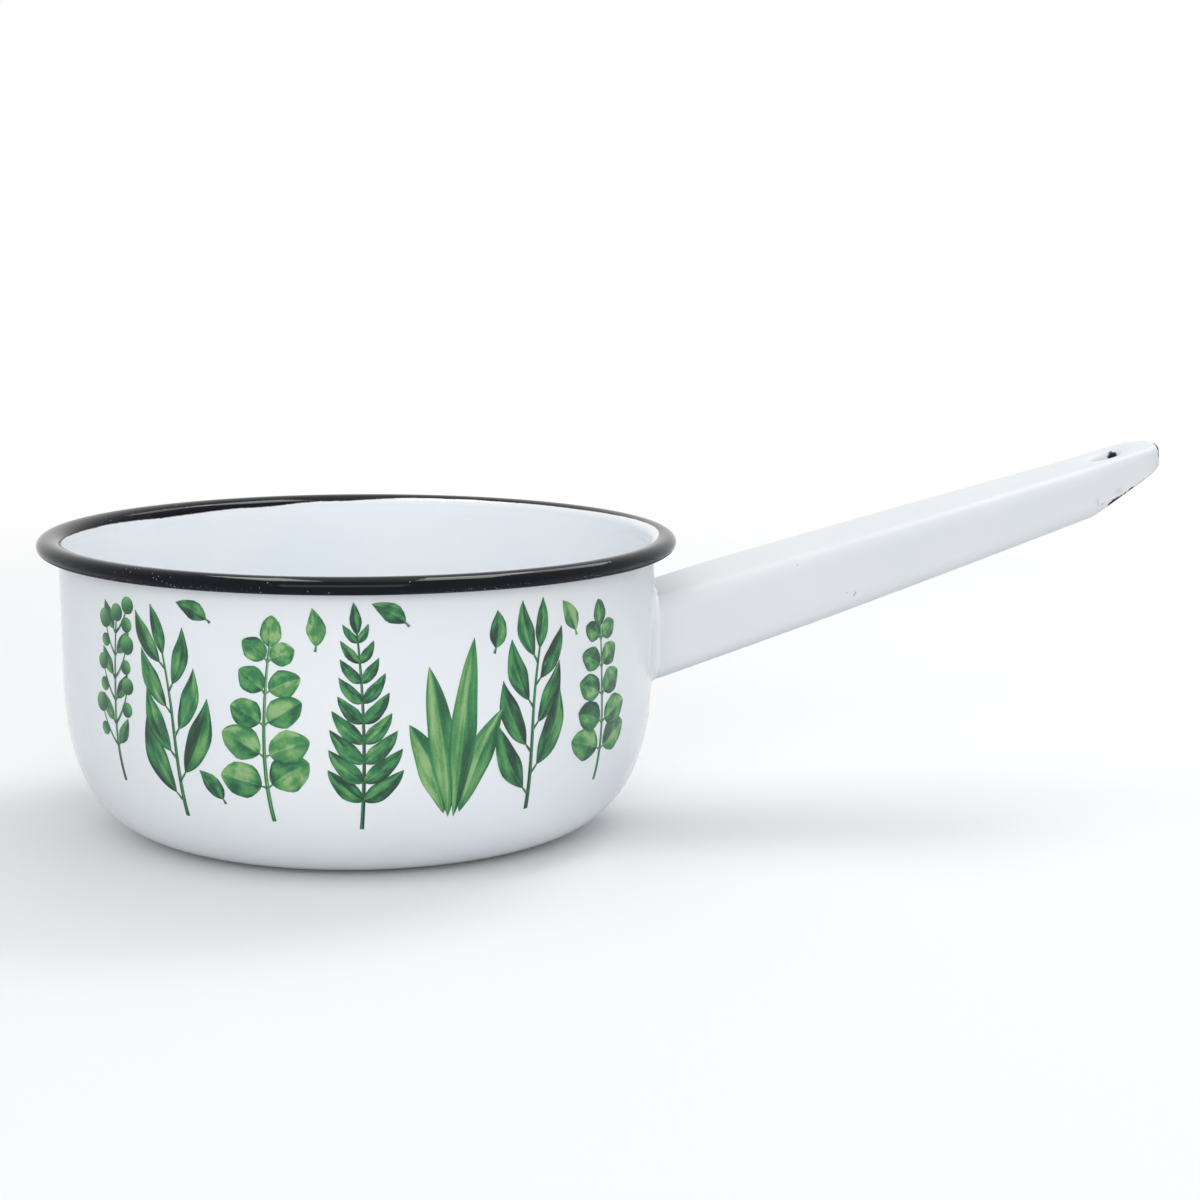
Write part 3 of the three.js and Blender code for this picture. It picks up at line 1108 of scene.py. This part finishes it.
STAINS = (
    ((52.6, -15.8, -15.0), (0.35, 1.0, 0.45)),
    ((53.1, -15.8, -14.5), (0.35, 1.0, 0.4)),
    ((50.8, -15.9, -13.8), (0.2, 1.0, 0.2)),
    ((39.2, -15.7, -2.4), (0.2, 1.0, 0.2)),
    ((128.8, -11.9, -11.1), (0.4, 1.0, 0.4)),
)


def enamel_white(paint, white, cool):
    """White with faint clouds and a few pinholes."""
    cloud = paint.map(paint.noise(22, 3), 0.35, 0.7)
    pinholes = paint.specks(110, 0.022, 0.1)
    return paint.mix(pinholes, paint.mix(cloud, white, cool), PINHOLE)


def enamel_peel(paint):
    """The slow waves of a fired glaze."""
    return paint.bump(paint.noise(420, 1), 0.06, 0.0004)


def white_enamel():
    paint = Paint("white_enamel", ENAMEL_ROUGHNESS, 0.25)
    colour = enamel_white(paint, WHITE, WHITE_COOL)
    return paint.finish(Base_Color=colour, Normal=enamel_peel(paint))


def handle_enamel():
    """White, worn to dark iron with rusty margins at the hole, the nose and the scoop's edge."""
    paint = Paint("handle_enamel", HANDLE_ROUGHNESS, 0.08)
    place = paint.attribute("along_handle", "Vector")
    x, y, _ = paint.parts(place)
    above = paint.attribute("above_edge", "Fac")
    by_edge = paint.node("CombineXYZ", "Vector", X=x, Y=y, Z=above)
    ragged = paint.map(paint.noise(850, 1.5), 0.3, 0.7, -0.16, 0.16)
    chip = paint.math("MINIMUM", paint.nearest(place, CHIPS), paint.nearest(by_edge, EDGE_CHIPS))
    chip = paint.math("ADD", chip, ragged)
    cut = paint.math("ADD", above, paint.map(x, SCOOP_START, SCOOP_START + 2, 9.0, 0.0))
    cut = paint.math("ADD", cut, paint.math("MULTIPLY", ragged, 0.4))
    line = paint.map(cut, 0.2, 0.5, 0.65, 0.0)
    thin = paint.map(paint.nearest(place, THIN_PLACES), 0.3, 1.1, 0.55, 0.0)
    colour = paint.mix(thin, enamel_white(paint, HANDLE_WHITE, HANDLE_COOL), THIN_WHITE)
    stain = paint.map(paint.nearest(place, STAINS), 0.4, 1.1, 0.6, 0.0)
    colour = paint.mix(stain, colour, STAIN)
    colour = paint.mix(line, colour, PINHOLE)
    colour = paint.mix(paint.map(chip, 1.0, 1.2, 0.85, 0.0), colour, RUST)
    bare = paint.map(chip, 0.8, 0.95, 1.0, 0.0)
    colour = paint.mix(bare, colour, IRON)
    rough = paint.map(bare, 0.0, 1.0, HANDLE_ROUGHNESS, BARE_ROUGHNESS)
    return paint.finish(Base_Color=colour, Roughness=rough, Normal=enamel_peel(paint))


def black_enamel():
    """Black with pale specks, dull below where it was wiped, that ends inside in a brownish line."""
    paint = Paint("black_enamel", RIM_ROUGHNESS, 0.14)
    along, _, height = paint.parts(paint.place())
    low = paint.map(height, BEAD_DULL_FROM * MM, BEAD_DULL_TO * MM)
    past = paint.attribute("past_edge", "Fac")
    wander = paint.map(paint.noise(70, 2), 0.3, 0.7, -0.12, 0.12)
    ragged = paint.total(past, wander, paint.map(paint.noise(900, 2), 0.3, 0.7, -0.05, 0.05))
    speckled = paint.map(paint.noise(45, 2), 0.45, 0.6)
    far_side = paint.map(along, FINE_SPECKS_FROM * MM, FINE_SPECKS_TO * MM)
    fine = paint.math("MULTIPLY", paint.specks(950, 0.17, 0.5), far_side)
    specks = paint.math("MAXIMUM", paint.specks(620, 0.13, 0.25), fine)
    specks = paint.math("MULTIPLY", specks, speckled)
    spattered = paint.map(paint.noise(28, 1), 0.52, 0.64)
    spatter = paint.math("MULTIPLY", paint.specks(1500, 0.3, 0.5), spattered)
    specks = paint.math("MAXIMUM", specks, paint.math("MULTIPLY", spatter, low))
    black = paint.mix(specks, BLACK, SPECK)
    fringe = paint.mix(paint.map(ragged, -0.12, 0.05), black, FRINGE)
    white = enamel_white(paint, WHITE, WHITE_COOL)
    colour = paint.mix(paint.map(ragged, 0.0, 0.25), fringe, white)
    dull = paint.map(low, 0.0, 1.0, RIM_ROUGHNESS, WIPED_ROUGHNESS)
    return paint.finish(Base_Color=colour, Roughness=dull, Normal=enamel_peel(paint))


# Greens of the print, from dark to pale
LEAF_WASH = (
    (0.0, (0.012, 0.042, 0.026)),
    (0.25, (0.014, 0.105, 0.042)),
    (0.5, (0.035, 0.22, 0.075)),
    (0.75, (0.105, 0.32, 0.095)),
    (1.0, (0.28, 0.47, 0.2)),
)


def leaf_green():
    """Washes of green: one half of a leaf lighter, darker at the foot and the edge, a pale midrib."""
    paint = Paint("leaf_green", ENAMEL_ROUGHNESS)
    u, v, seed = paint.parts(paint.attribute("leaf", "Vector"))
    tone = paint.attribute("tone", "Fac")
    apart = paint.math("MULTIPLY", seed, 60)
    along = paint.math("ADD", u, apart)
    across = paint.math("MULTIPLY", v, 0.5)
    own = paint.node("CombineXYZ", "Vector", X=along, Y=across, Z=apart)
    bloom = paint.map(paint.noise(2.3, 2, own), 0.3, 0.7, -0.3, 0.3)
    grain = paint.map(paint.noise(1600, 2), 0.3, 0.7, -0.04, 0.04)
    lit_side = paint.math("SIGN", paint.math("SUBTRACT", seed, 0.5))
    half = paint.math("MULTIPLY", paint.map(v, -0.15, 0.15, -0.13, 0.13), lit_side)
    off_rib = paint.math("ABSOLUTE", v)
    edge = paint.map(off_rib, 0.68, 1.0, 0.0, -0.17)
    foot = paint.map(u, 0.0, 0.3, -0.16, 0.0)
    rib_fade = paint.map(u, 0.5, 0.9, 1.0, 0.0)
    rib = paint.math("MULTIPLY", paint.map(off_rib, 0.02, 0.1, 0.2, 0.0), rib_fade)
    colour = paint.ramp(paint.total(tone, bloom, grain, half, edge, foot, rib), LEAF_WASH)
    return paint.finish(Base_Color=colour)


def berry_green():
    """Round wash, pale to one side."""
    paint = Paint("berry_green", ENAMEL_ROUGHNESS)
    u, v, _ = paint.parts(paint.attribute("leaf", "Vector"))
    tone = paint.attribute("tone", "Fac")
    light = paint.map(paint.total(u, paint.math("MULTIPLY", v, 0.35)), 0.2, 1.0, -0.25, 0.3)
    rim = paint.map(paint.math("ABSOLUTE", v), 0.6, 1.0, 0.0, -0.12)
    colour = paint.ramp(paint.total(tone, light, rim), LEAF_WASH)
    return paint.finish(Base_Color=colour)


make_camera()
make_studio()
make_floor()
bowl = make_bowl()
rim = make_rim()
handle = make_handle()
weld = make_weld()
enamel = white_enamel()
bowl.data.materials.append(enamel)
handle.data.materials.append(handle_enamel())
weld.data.materials.append(enamel)
rim.data.materials.append(black_enamel())
make_print()
